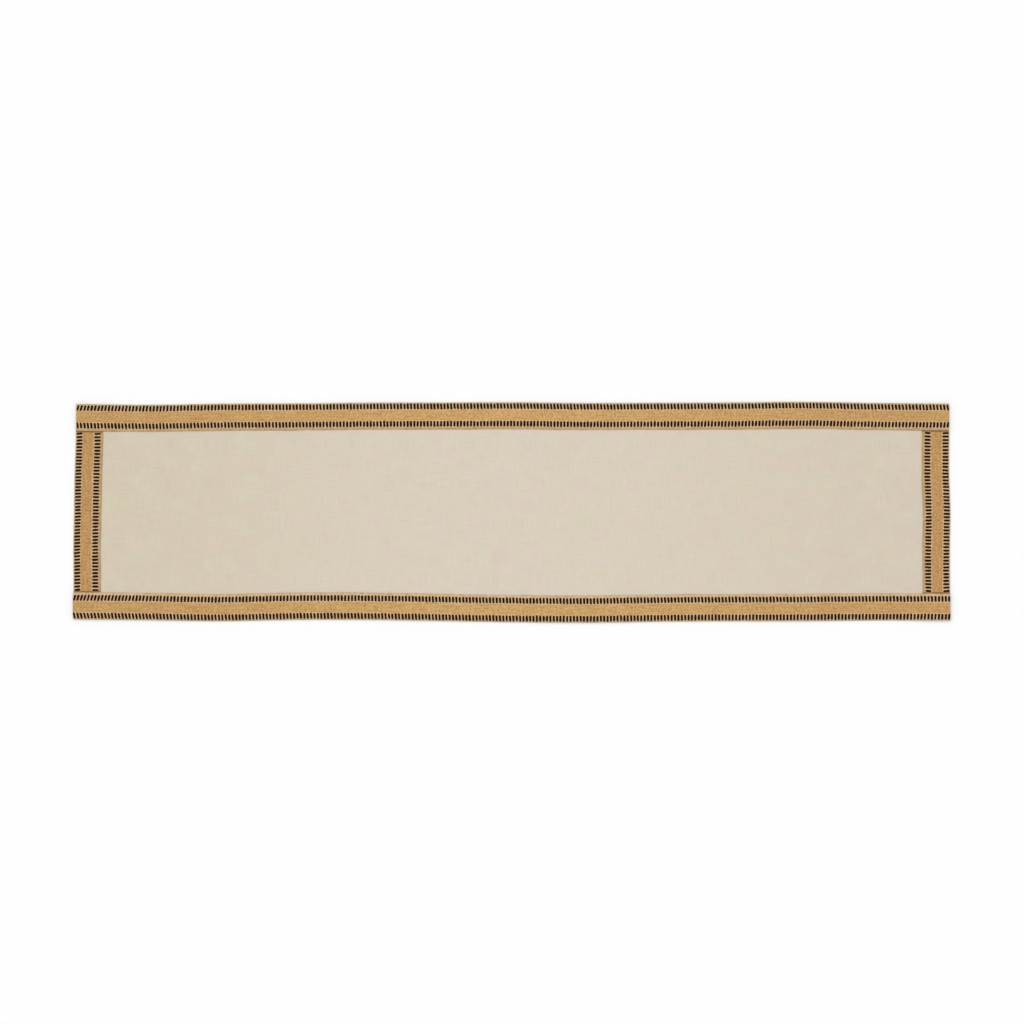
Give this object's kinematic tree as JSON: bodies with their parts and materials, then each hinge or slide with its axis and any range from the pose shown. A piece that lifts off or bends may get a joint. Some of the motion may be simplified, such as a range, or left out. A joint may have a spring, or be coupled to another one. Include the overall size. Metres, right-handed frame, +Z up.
{
  "type": "table runner",
  "caption": "Long rectangular woven cloth table runner with a border of jute tapes sewn over its turned edges and rows of black crosswise yarn bars along each tape.",
  "frame": {"origin": "middle of the underside, on the plane that lies on the table", "axes": "+X along the runner towards its right end, +Y across it towards its back edge, +Z up out of its face"},
  "size_m": [1.829, 0.457, 0.003],
  "materials": {
    "ground_cloth": "plain-woven natural cotton and linen cloth, matt, with faint slubs",
    "jute_tape": "golden woven jute tape with fibrous matt yarns",
    "black_yarn": "soft spun near-black yarn",
    "needle_thread": "golden sewing thread",
    "bobbin_thread": "natural sewing thread"
  },
  "bodies": {
    "root": {"ground_cloth": "ground_cloth", "long_tape_front": "jute_tape", "black_yarn_front_outer": "black_yarn", "black_yarn_front_inner": "black_yarn", "needle_thread_front": "needle_thread", "bobbin_thread_front": "bobbin_thread", "end_tape_right": "jute_tape", "black_yarn_right_outer": "black_yarn", "black_yarn_right_inner": "black_yarn", "needle_thread_right": "needle_thread", "bobbin_thread_right": "bobbin_thread", "long_tape_back": "jute_tape", "black_yarn_back_outer": "black_yarn", "black_yarn_back_inner": "black_yarn", "needle_thread_back": "needle_thread", "bobbin_thread_back": "bobbin_thread", "end_tape_left": "jute_tape", "black_yarn_left_outer": "black_yarn", "black_yarn_left_inner": "black_yarn", "needle_thread_left": "needle_thread", "bobbin_thread_left": "bobbin_thread"}
  },
  "joints": []
}
